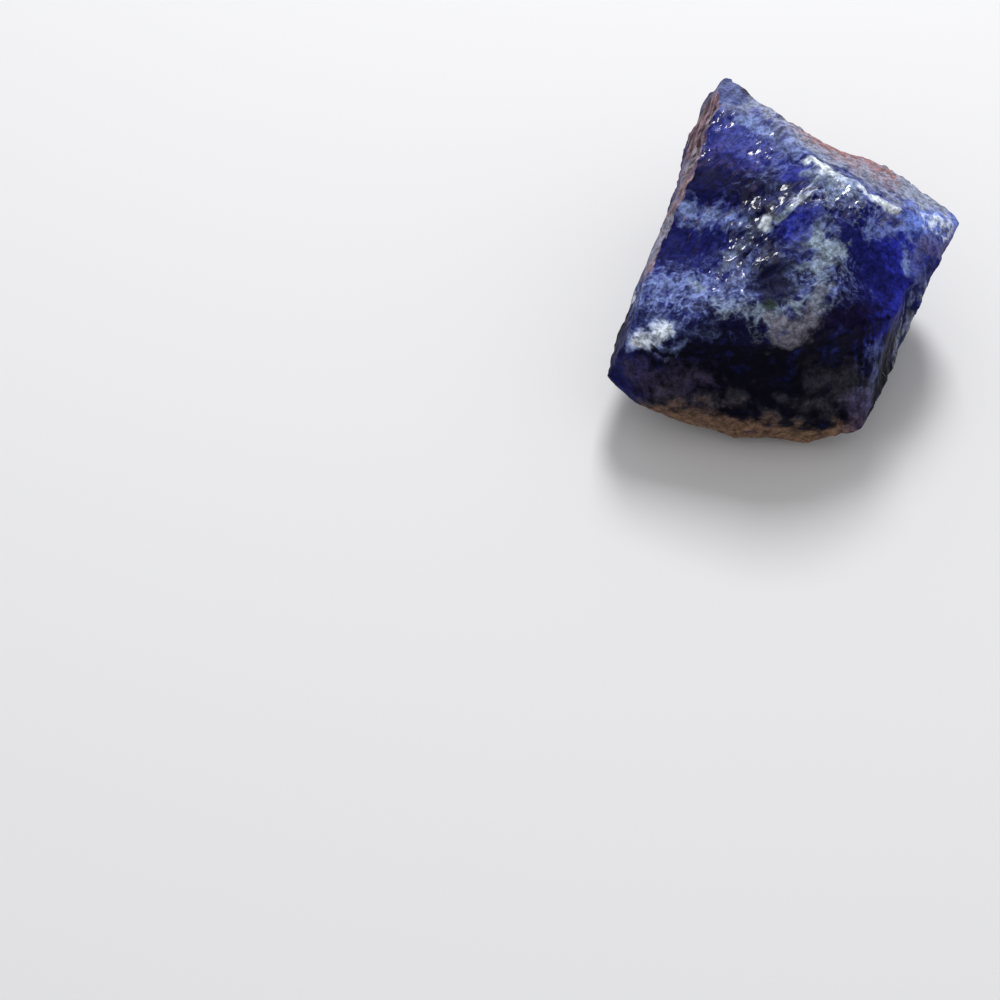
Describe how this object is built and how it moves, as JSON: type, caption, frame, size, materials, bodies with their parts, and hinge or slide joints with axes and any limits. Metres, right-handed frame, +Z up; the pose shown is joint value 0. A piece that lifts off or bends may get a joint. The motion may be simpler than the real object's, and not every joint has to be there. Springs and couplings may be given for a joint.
{
  "type": "rough sodalite",
  "caption": "Rough lump of deep blue sodalite with broken, hollowed faces and sharp edges, pale cloudy veining, and a flat spot underneath that it rests on.",
  "frame": {"origin": "on the surface it rests on, under the middle of the lump's bounding box", "axes": "+Z up; +Y towards the pointed apex, -Y out of the dark front face, +X towards the pointed tip"},
  "size_m": [0.0468, 0.0492, 0.0271],
  "materials": {
    "sodalite": "wet-looking gloss on a broken surface, deep blue with pale cloudy veins"
  },
  "bodies": {
    "root": {"sodalite_lump": "sodalite"}
  },
  "joints": []
}
